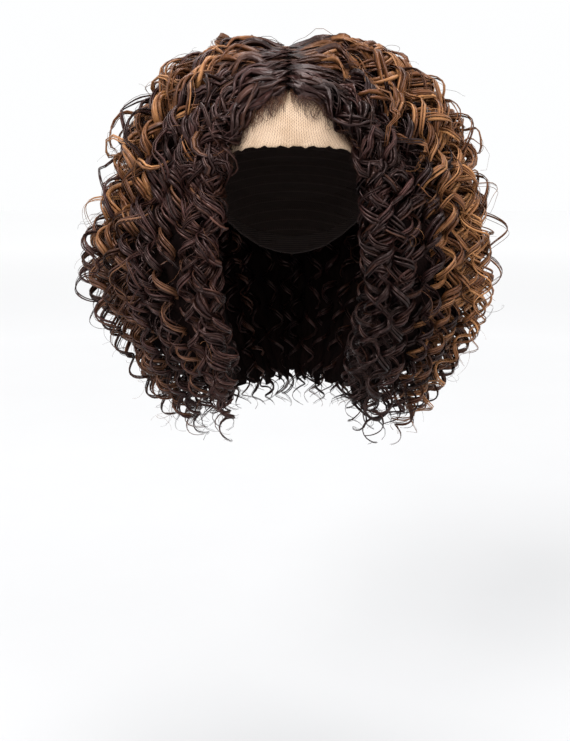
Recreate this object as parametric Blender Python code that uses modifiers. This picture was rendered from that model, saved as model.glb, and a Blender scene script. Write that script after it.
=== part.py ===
# Curly lace front wig, held as a head holds it. Metres, +Z up, face towards -Y.
# The origin is the centre of the head-size plane, the level of the widest ring of the cap.
import math
from collections import namedtuple

import bmesh
import bpy
from mathutils import Vector

# Head that the cap is sewn for, measured to the inside of the cap
HEAD_HALF_WIDTH = 0.076
HEAD_FRONT = 0.092
HEAD_BACK = 0.098
CROWN_HEIGHT = 0.083
SKULL_DEPTH = 0.110  # below the head plane the skull narrows as if it closed at this depth

# Cap pieces
CAP_WALL = 0.0012
LACE_WALL = 0.0010
BAND_WALL = 0.0020
SEAM_GAP = 0.0004  # gap left between two pieces that are sewn edge to edge
LACE_SEAM_Y = 0.008  # the lace runs back to this line, ear to ear over the crown
NAPE_BAND_HEIGHT = 0.014
EAR_TAB_LENGTH = 0.034
EAR_TAB_CENTRE = 78.0  # degrees round from the face
EAR_TAB_SPREAD = 7.0  # half width of a tab, in degrees

# Outside of the hair, to the tips of the curls
HAIR_HALF_WIDTH = 0.168
HAIR_FRONT = 0.108
HAIR_BACK = 0.166
HAIR_RISE = 0.103  # top of the hair over the head plane
HAIR_ROUNDING = 0.66  # power of the hair's dome; 0.5 is an ellipsoid, more is narrower on top
SKULL_ROUNDING = 0.5
HAIR_DROP = 0.222  # lowest curls under the head plane
CURTAIN_DROP = 0.204  # lower edge of the hair next to the neck
FACE_HALF_WIDTH = 0.058

# Parting, on top of the crown
PART_X = -0.003
PART_FRONT = -0.074  # the hairline at the parting
PART_BACK = 0.040
PART_VALLEY = 0.20  # share of the hair's thickness that is left at the parting
PART_SLOPE = 0.17  # the valley of the parting ends this far down the dome
HAIRLINE_BULGE = 0.003  # how far the hairline swings forward between parting and temple
HAIRLINE_AZIMUTH = 42.0  # degrees round from the face where it meets the head plane

# Layers of the hair, from the cap outwards
CAP_CLEARANCE = 0.0018  # corner of a hair facet to the cap; the middle of it comes closer
HAIR_GAP = 0.0009  # between the two layers of hair
SECTION_GAP = 0.0030  # between two sections side by side
SLAB_END_SHARE = 0.95  # the ringlets hang lower than the layers behind them
BACKING_WALL = 0.0040  # the backing of the ringlets is nowhere thinner
LEAST_RADIUS = 0.0020  # of a ringlet
WEFT_SHARE = 0.44  # share of the hair's thickness in the under layer
WEFT_TOP = 0.36  # the under layer starts this far down the dome
WEFT_FADE = 0.21  # its depth is worked out from this place, a little above its top
WEFT_FULL = 0.72  # and is its full share of the thickness from this one on
BACKING_REACH = 2.06  # the backing lies this many ringlet radii under the outside

# Ringlets
LOCKS_PER_SECTION = 4
CURL_PITCH = 0.048
LOCK_RADIUS = 0.0132  # axis to the outside of a ringlet, where there is room
LOCK_CLEARANCE = 0.88  # share of the room beside it that it takes up where there is less
STRAND_SHARE = 0.50  # the lock's own half thickness, as a share of LOCK_RADIUS
STEPS_PER_TURN = 5
LOCK_SIDES = 4
AXIS_SHARE = 0.9  # where the room beside a ringlet is measured, as a share of the thickness
LOCK_START = 0.13  # ringlets rise from the backing this far down the dome
ROOT_SHARE = 0.10  # share of a ringlet's length in which it rises
ROOT_TAPER = 0.55  # thickness of the strand at its root, as a share of the full one
END_TAPER = 0.60  # and at its end
PHASE_STEP = 0.37  # turns between one ringlet's start and its neighbour's

# Meshing
CAP_COLUMNS = 32
CAP_ROWS = 7
SLAB_COLUMNS = 4
DOME_ROWS = 4
FALL_ROWS = 6
STRIP_COLUMNS = 8
AXIS_STEPS = 60
GRID_EDGE = 0.499  # a grid of size 1 has its edges beyond this
EDGE_STEP = 0.02  # share of the way round over which an edge's direction is taken
WELD = 0.00002
DOME_SHARE = 0.45  # share of a lock's way that lies on the dome above the head plane

# Sections of the hair below the head plane. The drops are shares of CURTAIN_DROP and HAIR_DROP,
# the inner columns of the head's half width, front and back, the outer columns of
# HAIR_HALF_WIDTH, HAIR_FRONT and HAIR_BACK, and the opening of FACE_HALF_WIDTH.
Level = namedtuple(
    "Level",
    "fall inner_drop inner_side inner_front inner_back"
    " outer_drop outer_left outer_right outer_front outer_back opening",
)
LEVELS = (
    Level(0.00, 0.00, 1.00, 1.00, 1.00, 0.00, 0.84, 0.86, 0.93, 0.93, 0.92),
    Level(0.20, 0.15, 0.99, 0.99, 0.97, 0.19, 0.96, 0.94, 0.99, 1.00, 0.96),
    Level(0.42, 0.32, 0.93, 0.84, 0.86, 0.40, 1.03, 0.96, 1.00, 0.99, 0.98),
    Level(0.62, 0.52, 0.78, 0.68, 0.70, 0.59, 0.94, 0.93, 0.93, 0.93, 0.88),
    Level(0.82, 0.74, 0.62, 0.56, 0.58, 0.80, 0.78, 0.79, 0.78, 0.78, 0.78),
    Level(1.00, 1.00, 0.64, 0.56, 0.60, 1.00, 0.56, 0.62, 0.58, 0.56, 0.83),
)

# Lower edge of the cap: degrees round from the face, and height as a share of CROWN_HEIGHT
RimPoint = namedtuple("RimPoint", "azimuth height")
CAP_RIM = (
    RimPoint(0.0, 0.18),
    RimPoint(30.0, 0.15),
    RimPoint(58.0, -0.04),
    RimPoint(78.0, -0.13),
    RimPoint(102.0, -0.17),
    RimPoint(128.0, -0.48),
    RimPoint(152.0, -0.68),
    RimPoint(180.0, -0.74),
)

# Sections of the hair on each side, from the face to the middle of the back
Section = namedtuple("Section", "name start end")
SECTIONS = (
    Section("front", 0.0, 0.31),
    Section("side", 0.31, 0.66),
    Section("back", 0.66, 1.0),
)
SIDES = (("left", -1), ("right", 1))

# Where each ringlet of a section ends, as a share of the way from parting to lowest curls
LOCK_END_SHARES = (1.0, 0.86, 0.98, 0.80)

# Colours, metallic and roughness of the finishes
Finish = namedtuple("Finish", "name colour metallic roughness")
LACE = Finish("lace", (0.62, 0.47, 0.34, 1.0), 0.0, 0.8)
NET = Finish("cap_net", (0.035, 0.024, 0.020, 1.0), 0.0, 0.85)
BAND = Finish("elastic_band", (0.045, 0.030, 0.026, 1.0), 0.0, 0.75)
DARK_HAIR = Finish("dark_hair", (0.022, 0.013, 0.012, 1.0), 0.0, 0.42)
CURL_HAIR = Finish("curl_hair", (0.105, 0.048, 0.024, 1.0), 0.0, 0.40)


def clear_scene():
    for old in list(bpy.data.objects):
        bpy.data.objects.remove(old)


def new_collection(name):
    collection = bpy.data.collections.new(name)
    bpy.context.scene.collection.children.link(collection)
    return collection


def material_of(finish):
    found = bpy.data.materials.get(finish.name)
    if found:
        return found
    material = bpy.data.materials.new(finish.name)
    material.use_nodes = True
    shader = material.node_tree.nodes["Principled BSDF"]
    shader.inputs["Base Color"].default_value = finish.colour
    shader.inputs["Metallic"].default_value = finish.metallic
    shader.inputs["Roughness"].default_value = finish.roughness
    return material


def mesh_object(name, shape, finish, collection):
    mesh = bpy.data.meshes.new(name)
    shape.to_mesh(mesh)
    shape.free()
    mesh.materials.append(material_of(finish))
    mesh.shade_smooth()
    made = bpy.data.objects.new(name, mesh)
    collection.objects.link(made)
    return made


def mixed(first, second, share):
    return first + (second - first) * share


def eased(share):
    share = min(max(share, 0.0), 1.0)
    return share * share * (3.0 - 2.0 * share)


def read_row(rows, key, at, column):
    """A column of a table at a place between its rows, along a curve with no corner."""
    places = [getattr(row, key) for row in rows]
    values = [getattr(row, column) for row in rows]
    at = min(max(at, places[0]), places[-1])
    i = max(k for k in range(len(rows) - 1) if places[k] <= at)
    width = places[i + 1] - places[i]
    share = (at - places[i]) / width

    def slope(k):
        low, high = max(k - 1, 0), min(k + 1, len(rows) - 1)
        return (values[high] - values[low]) / (places[high] - places[low]) * width

    squared, cubed = share * share, share**3
    return (
        values[i] * (2 * cubed - 3 * squared + 1)
        + values[i + 1] * (3 * squared - 2 * cubed)
        + slope(i) * (cubed - 2 * squared + share)
        + slope(i + 1) * (cubed - squared)
    )


# Cap

def skull(azimuth, polar, outward):
    """Point of the cap, azimuth degrees round from the face and polar degrees down from the top."""
    turn, down = math.radians(azimuth), math.radians(polar)
    length = HEAD_FRONT if math.cos(turn) > 0 else HEAD_BACK
    height = CROWN_HEIGHT if down < math.pi / 2 else SKULL_DEPTH
    return Vector(
        (
            (HEAD_HALF_WIDTH + outward) * math.sin(down) * math.sin(turn),
            -(length + outward) * math.sin(down) * math.cos(turn),
            (height + outward) * math.cos(down),
        )
    )


def polar_of(height):
    depth = CROWN_HEIGHT if height > 0 else SKULL_DEPTH
    return math.degrees(math.acos(height / depth))


def rim_height(azimuth):
    round_from_face = abs((azimuth + 180.0) % 360.0 - 180.0)
    return CROWN_HEIGHT * read_row(CAP_RIM, "azimuth", round_from_face, "height")


def solidify(made, wall):
    shell = made.modifiers.new("wall", "SOLIDIFY")
    shell.thickness = wall
    shell.offset = 1.0
    shell.use_even_offset = True


def cap_half(name, wall, finish, keep_front, collection):
    """The dome of the cap on one side of the seam that runs ear to ear."""
    shape = bmesh.new()
    bmesh.ops.create_uvsphere(
        shape, u_segments=CAP_COLUMNS, v_segments=2 * CAP_ROWS, radius=1.0
    )
    lower = [v for v in shape.verts if v.co.z < -0.001]
    bmesh.ops.delete(shape, geom=lower, context="VERTS")
    for vert in shape.verts:
        down = math.degrees(math.acos(min(1.0, vert.co.z))) / 90.0
        azimuth = math.degrees(math.atan2(vert.co.x, -vert.co.y))
        vert.co = skull(azimuth, down * polar_of(rim_height(azimuth)), 0.0)
    offset = -SEAM_GAP / 2 if keep_front else SEAM_GAP / 2
    bmesh.ops.bisect_plane(
        shape,
        geom=shape.verts[:] + shape.edges[:] + shape.faces[:],
        plane_co=(0.0, LACE_SEAM_Y + offset, 0.0),
        plane_no=(0.0, 1.0, 0.0),
        clear_outer=keep_front,
        clear_inner=not keep_front,
    )
    made = mesh_object(name, shape, finish, collection)
    solidify(made, wall)
    return made


def rim_strip(name, azimuths, drop_at, finish, wall, collection):
    """A strip sewn under the cap's edge, between two azimuths, that hangs drop_at(share) deep."""
    shape = bmesh.new()
    bmesh.ops.create_grid(shape, x_segments=STRIP_COLUMNS, y_segments=2, size=0.5)
    for vert in shape.verts:
        along, down = vert.co.x + 0.5, 0.5 - vert.co.y
        azimuth = mixed(azimuths[0], azimuths[1], along)
        edge = rim_height(azimuth) - SEAM_GAP
        vert.co = skull(azimuth, polar_of(edge - drop_at(along) * down), 0.0)
    bmesh.ops.recalc_face_normals(shape, faces=shape.faces)
    turn_outwards(shape)
    made = mesh_object(name, shape, finish, collection)
    solidify(made, wall)
    return made


def turn_outwards(shape):
    """Faces of an open strip point away from the head's axis."""
    shape.faces.ensure_lookup_table()
    face = shape.faces[0]
    centre = face.calc_center_median()
    if face.normal.dot(Vector((centre.x, centre.y, 0.0))) < 0:
        bmesh.ops.reverse_faces(shape, faces=shape.faces)


def tab_drop(along):
    """A tab's length across its width, round at the lower end."""
    across = 2.0 * along - 1.0
    return EAR_TAB_LENGTH * (0.55 + 0.45 * math.sqrt(max(0.0, 1.0 - across * across)))


def band_drop(along):
    """The nape band narrows to its two ends behind the ears."""
    return NAPE_BAND_HEIGHT * (0.45 + 0.55 * math.sin(math.pi * along))


def build_cap(collection):
    cap_half("lace_front", LACE_WALL, LACE, True, collection)
    cap_half("crown_cap", CAP_WALL, NET, False, collection)
    for side, sign in SIDES:
        ends = (
            sign * (EAR_TAB_CENTRE - EAR_TAB_SPREAD),
            sign * (EAR_TAB_CENTRE + EAR_TAB_SPREAD),
        )
        rim_strip("ear_tab_" + side, ends, tab_drop, BAND, BAND_WALL, collection)
    rim_strip("nape_band", (124.0, 236.0), band_drop, BAND, BAND_WALL, collection)


# Hair space: across runs from the face edge to the middle of the back, down from the
# parting to the lowest curls, and depth from the cap to the tips of the curls

def dome_height(x, y, half_width, front, back, height, rounding):
    length = front if y < 0 else back
    left = 1.0 - (x / half_width) ** 2 - (y / length) ** 2
    return height * max(left, 0.0) ** rounding


def ring_point(sign, across, open_angle, half_width, front, back):
    turn = math.radians(mixed(open_angle, 180.0, across))
    length = front if math.cos(turn) > 0 else back
    return sign * half_width * math.sin(turn), -length * math.cos(turn)


def on_dome(sign, across, share, open_angle, half_width, front, back, height, rounding):
    """Point on a dome that a lock reaches after this share of its way from the parting."""
    end_x, end_y = ring_point(sign, across, open_angle, half_width, front, back)
    start_y = mixed(PART_FRONT, PART_BACK, across)
    out = math.sin(share * math.pi / 2)
    x, y = mixed(PART_X, end_x, out), mixed(start_y, end_y, out)
    y -= HAIRLINE_BULGE * math.sin(math.pi * share) * (1.0 - across) ** 3
    if share >= 1.0:
        return Vector((x, y, 0.0))
    return Vector((x, y, dome_height(x, y, half_width, front, back, height, rounding)))


def opening_angle(half_opening, half_width):
    return math.degrees(math.asin(min(half_opening / half_width, 1.0)))


def inner_point(sign, across, down):
    lift = CAP_WALL + CAP_CLEARANCE
    half_width, front, back = HEAD_HALF_WIDTH + lift, HEAD_FRONT + lift, HEAD_BACK + lift
    if down <= DOME_SHARE:
        share = down / DOME_SHARE
        height = CROWN_HEIGHT + lift
        return on_dome(
            sign,
            across,
            share,
            HAIRLINE_AZIMUTH,
            half_width,
            front,
            back,
            height,
            SKULL_ROUNDING,
        )
    fall = (down - DOME_SHARE) / (1.0 - DOME_SHARE)
    side = half_width * read_row(LEVELS, "fall", fall, "inner_side")
    opening = FACE_HALF_WIDTH * read_row(LEVELS, "fall", fall, "opening")
    x, y = ring_point(
        sign,
        across,
        opening_angle(opening, side),
        side,
        front * read_row(LEVELS, "fall", fall, "inner_front"),
        back * read_row(LEVELS, "fall", fall, "inner_back"),
    )
    return Vector((x, y, -CURTAIN_DROP * read_row(LEVELS, "fall", fall, "inner_drop")))


def outer_point(sign, across, down):
    side_column = "outer_left" if sign < 0 else "outer_right"
    fall = max(0.0, (down - DOME_SHARE) / (1.0 - DOME_SHARE))
    half_width = HAIR_HALF_WIDTH * read_row(LEVELS, "fall", fall, side_column)
    front = HAIR_FRONT * read_row(LEVELS, "fall", fall, "outer_front")
    back = HAIR_BACK * read_row(LEVELS, "fall", fall, "outer_back")
    opening = FACE_HALF_WIDTH * read_row(LEVELS, "fall", fall, "opening")
    open_angle = opening_angle(opening, half_width)
    if down <= DOME_SHARE:
        share = down / DOME_SHARE
        full = on_dome(
            sign,
            across,
            share,
            open_angle,
            half_width,
            front,
            back,
            HAIR_RISE,
            HAIR_ROUNDING,
        )
        kept = mixed(PART_VALLEY, 1.0, eased(share / PART_SLOPE))
        return mixed(inner_point(sign, across, down), full, kept)
    x, y = ring_point(sign, across, open_angle, half_width, front, back)
    return Vector((x, y, -HAIR_DROP * read_row(LEVELS, "fall", fall, "outer_drop")))


def hair_point(sign, across, down, depth):
    inner = inner_point(sign, across, down)
    return mixed(inner, outer_point(sign, across, down), depth)


def thickness(sign, across, down):
    return (outer_point(sign, across, down) - inner_point(sign, across, down)).length


def weft_depth(down):
    """Share of the thickness that the under layer fills. It runs out on top of the crown."""
    return WEFT_SHARE * eased((down / DOME_SHARE - WEFT_FADE) / (WEFT_FULL - WEFT_FADE))


def lock_radius(sign, across, down):
    """Axis to the outside of a ringlet: it keeps off its neighbours and the under layer."""
    half = 0.5 / (len(SECTIONS) * LOCKS_PER_SECTION)
    beside = hair_point(sign, across + half, down, AXIS_SHARE)
    beside = (beside - hair_point(sign, across - half, down, AXIS_SHARE)).length / 2
    below = (1.0 - weft_depth(down)) * thickness(sign, across, down)
    below = (below - BACKING_WALL - HAIR_GAP) / BACKING_REACH
    room = min(LOCK_RADIUS, LOCK_CLEARANCE * (beside - SECTION_GAP / 2), below)
    return max(room, LEAST_RADIUS)


def backing_depth(sign, across, down):
    """Outside of the backing that the ringlets rise from, as a share of the thickness."""
    reach = BACKING_REACH * lock_radius(sign, across, down)
    wall = thickness(sign, across, down)
    least = weft_depth(down) + (HAIR_GAP + BACKING_WALL) / wall
    return max(1.0 - reach / wall, min(least, 1.0))


def slab_rows(whole):
    """Places down a slab. A whole one starts at the parting, the under layer further down."""
    top = [0.0, PART_SLOPE / 2, PART_SLOPE] if whole else []
    dome = [mixed(WEFT_TOP, 1.0, i / DOME_ROWS) for i in range(DOME_ROWS)]
    fall = [mixed(DOME_SHARE, SLAB_END_SHARE, i / FALL_ROWS) for i in range(FALL_ROWS + 1)]
    return [DOME_SHARE * share for share in top + dome] + fall


def hair_slab(name, sign, section, inside, outside, finish, collection):
    """A closed slab of hair between two depths, inside(across, down) and outside(across, down)."""
    rows = slab_rows(finish is CURL_HAIR)
    shape = bmesh.new()
    bmesh.ops.create_grid(
        shape, x_segments=SLAB_COLUMNS, y_segments=len(rows) - 1, size=0.5
    )
    top = bmesh.ops.extrude_face_region(shape, geom=shape.faces[:])["geom"]
    lifted = {v for v in top if isinstance(v, bmesh.types.BMVert)}
    for vert in shape.verts:
        row = rows[round((0.5 - vert.co.y) * (len(rows) - 1))]
        across = mixed(section.start, section.end, vert.co.x + 0.5)
        depth = (outside if vert in lifted else inside)(across, row)
        place = hair_point(sign, across, row, depth)
        vert.co = place + edge_shift(sign, vert.co.x, across, row, depth)
    bmesh.ops.recalc_face_normals(shape, faces=shape.faces)
    return mesh_object(name, shape, finish, collection)


def edge_shift(sign, place, across, down, depth):
    """Draws the two edges of a slab in, so that sections side by side keep their gap."""
    inwards = -1.0 if place > 0 else 1.0
    if abs(place) < GRID_EDGE:
        return Vector((0.0, 0.0, 0.0))
    step = EDGE_STEP * inwards
    along = hair_point(sign, across + step, down, depth)
    along -= hair_point(sign, across, down, depth)
    return along.normalized() * SECTION_GAP / 2


def build_under_hair(collection):
    """The under layer, sewn in wefts round the sides and back of the cap."""
    for side, sign in SIDES:
        for section in SECTIONS:
            hair_slab(
                f"weft_hair_{section.name}_{side}",
                sign,
                section,
                lambda across, down: 0.0,
                lambda across, down: weft_depth(down),
                DARK_HAIR,
                collection,
            )


# Ringlets

def lock_axis(sign, across, first, last):
    """Places down the middle of a ringlet that lies just under the outside of the hair."""
    points = []
    for i in range(AXIS_STEPS + 1):
        down = mixed(first, last, i / AXIS_STEPS)
        radius = lock_radius(sign, across, down)
        thick = thickness(sign, across, down)
        root = backing_depth(sign, across, down) - STRAND_SHARE * radius / thick
        depth = mixed(root, 1.0 - radius / thick, eased(i / AXIS_STEPS / ROOT_SHARE))
        points.append(hair_point(sign, across, down, depth))
    return points


def lock_curve(name, sign, across, last, phase):
    """A ringlet: a thick strand wound round its axis, thin at both ends."""
    first = LOCK_START * DOME_SHARE
    axis = lock_axis(sign, across, first, last)
    lengths = [0.0]
    for before, after in zip(axis, axis[1:]):
        lengths.append(lengths[-1] + (after - before).length)
    turns = lengths[-1] / CURL_PITCH
    steps = round(turns * STEPS_PER_TURN)
    points = []
    for step in range(steps + 1):
        share = step / steps
        k = max(i for i in range(len(axis) - 1) if lengths[i] <= share * lengths[-1])
        part = (share * lengths[-1] - lengths[k]) / (lengths[k + 1] - lengths[k])
        centre = mixed(axis[k], axis[k + 1], part)
        along = (axis[k + 1] - axis[k]).normalized()
        down = mixed(first, last, (k + part) / (len(axis) - 1))
        outward = outer_point(sign, across, down) - inner_point(sign, across, down)
        outward = (outward - along * outward.dot(along)).normalized()
        beside = along.cross(outward)
        radius = lock_radius(sign, across, down)
        strand = radius * STRAND_SHARE
        turn = phase + math.tau * turns * share
        sweep = math.cos(turn) * outward + math.sin(turn) * beside
        reach = (radius - strand) * eased(share / ROOT_SHARE)
        taper = mixed(ROOT_TAPER, 1.0, eased(share / ROOT_SHARE))
        taper *= mixed(1.0, END_TAPER, share**3)
        points.append((centre + sweep * reach, strand * taper))
    return tube_mesh(name, points)


def lock_profile():
    """Section of a strand: a ring of LOCK_SIDES points of radius 1."""
    found = bpy.data.objects.get("lock_profile")
    if found:
        return found
    curve = bpy.data.curves.new("lock_profile", "CURVE")
    spline = curve.splines.new("POLY")
    spline.points.add(LOCK_SIDES - 1)
    spline.use_cyclic_u = True
    for i, point in enumerate(spline.points):
        turn = math.tau * i / LOCK_SIDES
        point.co = (math.cos(turn), math.sin(turn), 0.0, 1.0)
    made = bpy.data.objects.new("lock_profile", curve)
    bpy.context.scene.collection.objects.link(made)
    made.hide_render = True
    return made


def tube_mesh(name, points):
    """A tube through points with a radius each, as a mesh object with its caps welded on."""
    curve = bpy.data.curves.new(name, "CURVE")
    curve.dimensions = "3D"
    curve.bevel_mode = "OBJECT"
    curve.bevel_object = lock_profile()
    curve.use_fill_caps = True
    spline = curve.splines.new("POLY")
    spline.points.add(len(points) - 1)
    for point, (place, radius) in zip(spline.points, points):
        point.co = (*place, 1.0)
        point.radius = radius
    drawn = bpy.data.objects.new(name, curve)
    bpy.context.scene.collection.objects.link(drawn)
    bpy.context.view_layer.update()
    graph = bpy.context.evaluated_depsgraph_get()
    mesh = bpy.data.meshes.new_from_object(drawn.evaluated_get(graph))
    bpy.data.objects.remove(drawn)
    shape = bmesh.new()
    shape.from_mesh(mesh)
    bmesh.ops.remove_doubles(shape, verts=shape.verts, dist=WELD)
    bmesh.ops.recalc_face_normals(shape, faces=shape.faces)
    shape.to_mesh(mesh)
    shape.free()
    made = bpy.data.objects.new(name, mesh)
    bpy.context.scene.collection.objects.link(made)
    made.hide_render = True
    made.display_type = "WIRE"
    return made


def curl_section(side, sign, section, collection, tools):
    """The outer layer of one section: its backing with the ringlets fused to it."""

    def inside(across, down):
        gap = HAIR_GAP / thickness(sign, across, down)
        return weft_depth(down) + gap

    def outside(across, down):
        return backing_depth(sign, across, down)

    made = hair_slab(
        f"curls_{section.name}_{side}",
        sign,
        section,
        inside,
        outside,
        CURL_HAIR,
        collection,
    )
    spacing = (section.end - section.start) / LOCKS_PER_SECTION
    for i in range(LOCKS_PER_SECTION):
        across = section.start + (i + 0.5) * spacing
        last = LOCK_END_SHARES[i if sign > 0 else -1 - i]
        phase = math.tau * PHASE_STEP * (i + 1)
        lock = lock_curve(f"{made.name}_lock_{i}", sign, across, last, phase)
        bpy.context.scene.collection.objects.unlink(lock)
        tools.objects.link(lock)
        join = made.modifiers.new(f"lock_{i}", "BOOLEAN")
        join.operation = "UNION"
        join.object = lock
    return made


def build_curls(collection, tools):
    for side, sign in SIDES:
        for section in SECTIONS:
            curl_section(side, sign, section, collection, tools)


def main():
    clear_scene()
    wig = new_collection("lace_front_wig")
    tools = new_collection("tools")
    tools.hide_render = True
    build_cap(wig)
    build_under_hair(wig)
    build_curls(wig, tools)


main()
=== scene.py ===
# Curly lace front wig: ringlets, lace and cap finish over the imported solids.
# Metres, +Z up, the face looks along -Y, and the origin is the centre of the head-size plane.
import math

import bpy
import numpy as np
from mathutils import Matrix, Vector


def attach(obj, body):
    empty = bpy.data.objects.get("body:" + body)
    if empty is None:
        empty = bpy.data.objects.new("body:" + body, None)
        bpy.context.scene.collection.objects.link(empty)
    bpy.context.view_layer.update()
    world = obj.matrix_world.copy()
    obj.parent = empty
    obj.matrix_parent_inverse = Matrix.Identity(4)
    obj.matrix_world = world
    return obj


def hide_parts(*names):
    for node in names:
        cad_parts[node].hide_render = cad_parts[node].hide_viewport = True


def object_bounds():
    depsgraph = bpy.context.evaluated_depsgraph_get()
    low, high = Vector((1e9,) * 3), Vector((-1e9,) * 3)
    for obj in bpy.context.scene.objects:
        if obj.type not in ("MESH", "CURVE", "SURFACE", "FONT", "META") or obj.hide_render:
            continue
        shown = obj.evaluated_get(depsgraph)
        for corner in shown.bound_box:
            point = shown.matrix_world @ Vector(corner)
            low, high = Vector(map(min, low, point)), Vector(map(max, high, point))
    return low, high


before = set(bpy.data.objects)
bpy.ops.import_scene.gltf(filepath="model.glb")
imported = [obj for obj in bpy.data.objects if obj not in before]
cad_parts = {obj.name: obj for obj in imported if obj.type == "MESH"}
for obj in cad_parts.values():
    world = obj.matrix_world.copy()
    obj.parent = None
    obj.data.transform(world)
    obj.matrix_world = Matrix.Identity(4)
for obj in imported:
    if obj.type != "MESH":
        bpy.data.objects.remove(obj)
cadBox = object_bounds()
bpy.ops.object.select_all(action="DESELECT")
print("wig: solids loaded")

# The space that the hair fills, with the sizes of the solids.
# across: 0 at the face, 1 at the middle of the back. down: 0 at the parting, 1 at the lowest
# curls. depth: 0 on the cap, 1 at the tips.
head = dict(halfWidth=0.076, front=0.092, back=0.098, crown=0.083, skull=0.110)
head.update(wall=0.0012, clearance=0.0018, seamY=0.008)
hair = dict(halfWidth=0.168, front=0.108, back=0.166, rise=0.103, drop=0.222, rounding=0.66)
hair.update(curtainDrop=0.204, opening=0.058, partX=-0.003, partFront=-0.074, partBack=0.040)
hair.update(valley=0.20, slope=0.17, bulge=0.003, hairlineAngle=42.0, dome=0.45, outStep=0.1)
levelNames = (
    "fall innerDrop innerSide innerFront innerBack"
    " outerDrop outerLeft outerRight outerFront outerBack opening"
).split()
levelRows = (
    (0.00, 0.00, 1.00, 1.00, 1.00, 0.00, 0.84, 0.86, 0.93, 0.93, 0.92),
    (0.20, 0.15, 0.99, 0.99, 0.97, 0.19, 0.96, 0.94, 0.99, 1.00, 0.96),
    (0.42, 0.32, 0.93, 0.84, 0.86, 0.40, 1.03, 0.96, 1.00, 0.99, 0.98),
    (0.62, 0.52, 0.78, 0.68, 0.70, 0.59, 0.94, 0.93, 0.93, 0.93, 0.88),
    (0.82, 0.74, 0.62, 0.56, 0.58, 0.80, 0.78, 0.79, 0.78, 0.78, 0.78),
    (1.00, 1.00, 0.64, 0.56, 0.60, 1.00, 0.56, 0.62, 0.58, 0.56, 0.83),
)
levels = dict(zip(levelNames, np.array(levelRows).T))
capRim = dict(
    azimuth=np.array((0.0, 30.0, 58.0, 78.0, 102.0, 128.0, 152.0, 180.0)),
    height=np.array((0.18, 0.15, -0.04, -0.13, -0.17, -0.48, -0.68, -0.74)),
)
sides = (("left", -1.0), ("right", 1.0))
sections = (("front", 0.0, 0.31), ("side", 0.31, 0.66), ("back", 0.66, 1.0))


def eased(share):
    share = np.clip(share, 0.0, 1.0)
    return share * share * (3.0 - 2.0 * share)


def ramp(value, start, over):
    return eased((value - start) / over)


def mixed(first, second, share):
    return first + (second - first) * share


def unit(vectors):
    return vectors / np.maximum(np.linalg.norm(vectors, axis=-1, keepdims=True), 1e-9)


def readCurve(places, values, at):
    at = np.clip(at, places[0], places[-1])
    i = np.clip(np.searchsorted(places, at, side="right") - 1, 0, len(places) - 2)
    width = places[i + 1] - places[i]
    t = (at - places[i]) / width
    slopes = np.gradient(values, places)
    return (
        values[i] * (2 * t**3 - 3 * t**2 + 1)
        + values[i + 1] * (3 * t**2 - 2 * t**3)
        + slopes[i] * width * (t**3 - 2 * t**2 + t)
        + slopes[i + 1] * width * (t**3 - t**2)
    )


def ringPoint(sign, across, openAngle, halfWidth, front, back):
    turn = np.radians(mixed(openAngle, 180.0, across))
    length = np.where(np.cos(turn) > 0, front, back)
    return sign * halfWidth * np.sin(turn), -length * np.cos(turn)


def domePoint(sign, across, share, openAngle, halfWidth, front, back, height, rounding=0.5):
    endX, endY = ringPoint(sign, across, openAngle, halfWidth, front, back)
    out = np.sin(share * math.pi / 2)
    x = mixed(hair["partX"], endX, out)
    y = mixed(mixed(hair["partFront"], hair["partBack"], across), endY, out)
    y = y - hair["bulge"] * np.sin(math.pi * share) * np.clip(1.0 - across, 0.0, 1.0) ** 3
    length = np.where(y < 0, front, back)
    room = 1.0 - (x / halfWidth) ** 2 - (y / length) ** 2
    z = np.where(share < 1.0, height * np.maximum(room, 0.0) ** rounding, 0.0)
    return np.stack((x, y, z), axis=-1)


def level(down, column):
    fall = (down - hair["dome"]) / (1.0 - hair["dome"])
    return readCurve(levels["fall"], levels[column], fall)


def openAngleOf(halfOpening, halfWidth):
    return np.degrees(np.arcsin(np.minimum(halfOpening / halfWidth, 1.0)))


def innerPoint(sign, across, down):
    lift = head["wall"] + head["clearance"]
    halfWidth = head["halfWidth"] + lift
    front = head["front"] + lift
    back = head["back"] + lift
    share = np.minimum(down / hair["dome"], 1.0)
    angle = hair["hairlineAngle"]
    crown = head["crown"] + lift
    onDome = domePoint(sign, across, share, angle, halfWidth, front, back, crown)
    side = halfWidth * level(down, "innerSide")
    angle = openAngleOf(hair["opening"] * level(down, "opening"), side)
    frontReach = front * level(down, "innerFront")
    backReach = back * level(down, "innerBack")
    x, y = ringPoint(sign, across, angle, side, frontReach, backReach)
    below = np.stack((x, y, -hair["curtainDrop"] * level(down, "innerDrop")), axis=-1)
    return np.where((down <= hair["dome"])[..., None], onDome, below)


def outerPoint(sign, across, down):
    halfWidth = hair["halfWidth"] * level(down, "outerLeft" if sign < 0 else "outerRight")
    front = hair["front"] * level(down, "outerFront")
    back = hair["back"] * level(down, "outerBack")
    angle = openAngleOf(hair["opening"] * level(down, "opening"), halfWidth)
    share = np.minimum(down / hair["dome"], 1.0)
    full = domePoint(
        sign, across, share, angle, halfWidth, front, back, hair["rise"], hair["rounding"]
    )
    kept = mixed(hair["valley"], 1.0, eased(share / hair["slope"]))[..., None]
    onDome = mixed(innerPoint(sign, across, np.minimum(down, hair["dome"])), full, kept)
    x, y = ringPoint(sign, across, angle, halfWidth, front, back)
    below = np.stack((x, y, -hair["drop"] * level(down, "outerDrop")), axis=-1)
    return np.where((down <= hair["dome"])[..., None], onDome, below)


def hairPoint(sign, across, down, depth):
    across, down, depth = np.broadcast_arrays(across, down, depth)
    inner = innerPoint(sign, across, down)
    return inner + (outerPoint(sign, across, down) - inner) * depth[..., None]


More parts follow.
